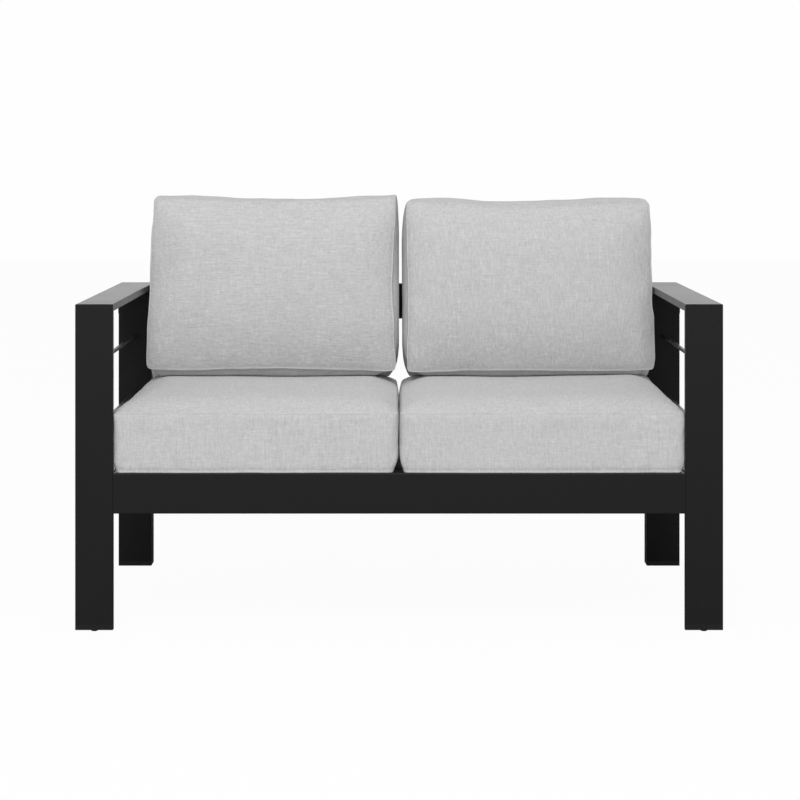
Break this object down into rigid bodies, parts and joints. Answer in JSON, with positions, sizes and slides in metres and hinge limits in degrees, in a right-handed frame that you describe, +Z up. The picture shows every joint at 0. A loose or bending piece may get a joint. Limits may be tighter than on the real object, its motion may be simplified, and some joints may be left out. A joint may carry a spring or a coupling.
{
  "type": "patio loveseat",
  "caption": "Patio loveseat: low black tube frame with flat band arms, deep boxed seat cushions and loose back cushions that lean on a back rail.",
  "frame": {"origin": "on the floor, in the middle of the footprint", "axes": "+X to the right arm as seen from the front, +Y to the back, so the front faces -Y, +Z up"},
  "size_m": [1.282, 0.7, 0.8465],
  "materials": {
    "powder_coat": "fine-textured black powder coat, low sheen",
    "plastic": "moulded black plastic, matt",
    "glide": "dark nylon, matt",
    "steel": "zinc-plated steel, lightly brushed",
    "bush": "turned steel",
    "cushion_fabric": "light grey woven polyester with a linen slub",
    "foam": "open-cell foam with a fibre wrap",
    "zip": "grey nylon coil zip on woven tape",
    "zip_slider": "grey lacquered die-cast metal"
  },
  "bodies": {
    "frame": {"back_rail_bolts": "steel", "back_rail_bushes": "bush", "back_top_rail": "powder_coat", "bolt_washers": "steel", "front_rail": "powder_coat", "left_arm_end_plug": "plastic", "left_arm_lower_bar": "powder_coat", "left_arm_top": "powder_coat", "left_arm_upper_bar": "powder_coat", "left_front_leg": "powder_coat", "left_front_leg_cap": "plastic", "left_rear_leg": "powder_coat", "left_rear_leg_cap": "plastic", "left_seat_frame_side": "powder_coat", "left_side_rail": "powder_coat", "rear_leg_hole_plugs": "plastic", "rear_seat_rail": "powder_coat", "right_arm_end_plug": "plastic", "right_arm_lower_bar": "powder_coat", "right_arm_top": "powder_coat", "right_arm_upper_bar": "powder_coat", "right_front_leg": "powder_coat", "right_front_leg_cap": "plastic", "right_rear_leg": "powder_coat", "right_rear_leg_cap": "plastic", "right_seat_frame_side": "powder_coat", "right_side_rail": "powder_coat", "seat_frame_bolts": "steel", "seat_slat_1": "powder_coat", "seat_slat_10": "powder_coat", "seat_slat_11": "powder_coat", "seat_slat_2": "powder_coat", "seat_slat_3": "powder_coat", "seat_slat_4": "powder_coat", "seat_slat_5": "powder_coat", "seat_slat_6": "powder_coat", "seat_slat_7": "powder_coat", "seat_slat_8": "powder_coat", "seat_slat_9": "powder_coat", "side_rail_bushes": "bush"},
    "left_seat_cushion": {"left_seat_cushion_cover": "cushion_fabric", "left_seat_cushion_foam": "foam", "left_seat_cushion_zip": "zip"},
    "left_seat_cushion_zip_pull": {"left_seat_cushion_zip_slider": "zip_slider"},
    "left_back_cushion": {"left_back_cushion_cover": "cushion_fabric", "left_back_cushion_foam": "foam", "left_back_cushion_zip": "zip"},
    "left_back_cushion_zip_pull": {"left_back_cushion_zip_slider": "zip_slider"},
    "left_front_glide_foot": {"left_front_glide": "glide"},
    "left_rear_glide_foot": {"left_rear_glide": "glide"},
    "right_seat_cushion": {"right_seat_cushion_cover": "cushion_fabric", "right_seat_cushion_foam": "foam", "right_seat_cushion_zip": "zip"},
    "right_seat_cushion_zip_pull": {"right_seat_cushion_zip_slider": "zip_slider"},
    "right_back_cushion": {"right_back_cushion_cover": "cushion_fabric", "right_back_cushion_foam": "foam", "right_back_cushion_zip": "zip"},
    "right_back_cushion_zip_pull": {"right_back_cushion_zip_slider": "zip_slider"},
    "right_front_glide_foot": {"right_front_glide": "glide"},
    "right_rear_glide_foot": {"right_rear_glide": "glide"}
  },
  "joints": [
    {"name": "left_seat_cushion_lift", "type": "slide", "parent": "frame", "child": "left_seat_cushion", "axis": [0, 0, 1], "range_m": [0, 0.4]},
    {"name": "left_back_cushion_lift", "type": "slide", "parent": "left_seat_cushion", "child": "left_back_cushion", "axis": [0, 0, 1], "range_m": [0, 0.4]},
    {"name": "left_seat_cushion_zip_run", "type": "slide", "parent": "left_seat_cushion", "child": "left_seat_cushion_zip_pull", "axis": [-1, 0, 0], "range_m": [0, 0.4]},
    {"name": "left_back_cushion_zip_run", "type": "slide", "parent": "left_back_cushion", "child": "left_back_cushion_zip_pull", "axis": [-1, 0, 0], "range_m": [0, 0.4]},
    {"name": "left_front_glide_turn", "type": "hinge", "parent": "frame", "child": "left_front_glide_foot", "pos_m": [-0.6025, -0.3425, 0], "axis": [0, 0, 1], "continuous": true},
    {"name": "left_rear_glide_turn", "type": "hinge", "parent": "frame", "child": "left_rear_glide_foot", "pos_m": [-0.6025, 0.325, 0], "axis": [0, 0, 1], "continuous": true},
    {"name": "right_seat_cushion_lift", "type": "slide", "parent": "frame", "child": "right_seat_cushion", "axis": [0, 0, 1], "range_m": [0, 0.4]},
    {"name": "right_back_cushion_lift", "type": "slide", "parent": "right_seat_cushion", "child": "right_back_cushion", "axis": [0, 0, 1], "range_m": [0, 0.4]},
    {"name": "right_seat_cushion_zip_run", "type": "slide", "parent": "right_seat_cushion", "child": "right_seat_cushion_zip_pull", "axis": [-1, 0, 0], "range_m": [0, 0.4]},
    {"name": "right_back_cushion_zip_run", "type": "slide", "parent": "right_back_cushion", "child": "right_back_cushion_zip_pull", "axis": [-1, 0, 0], "range_m": [0, 0.4]},
    {"name": "right_front_glide_turn", "type": "hinge", "parent": "frame", "child": "right_front_glide_foot", "pos_m": [0.6025, -0.3425, 0], "axis": [0, 0, 1], "continuous": true},
    {"name": "right_rear_glide_turn", "type": "hinge", "parent": "frame", "child": "right_rear_glide_foot", "pos_m": [0.6025, 0.325, 0], "axis": [0, 0, 1], "continuous": true}
  ]
}
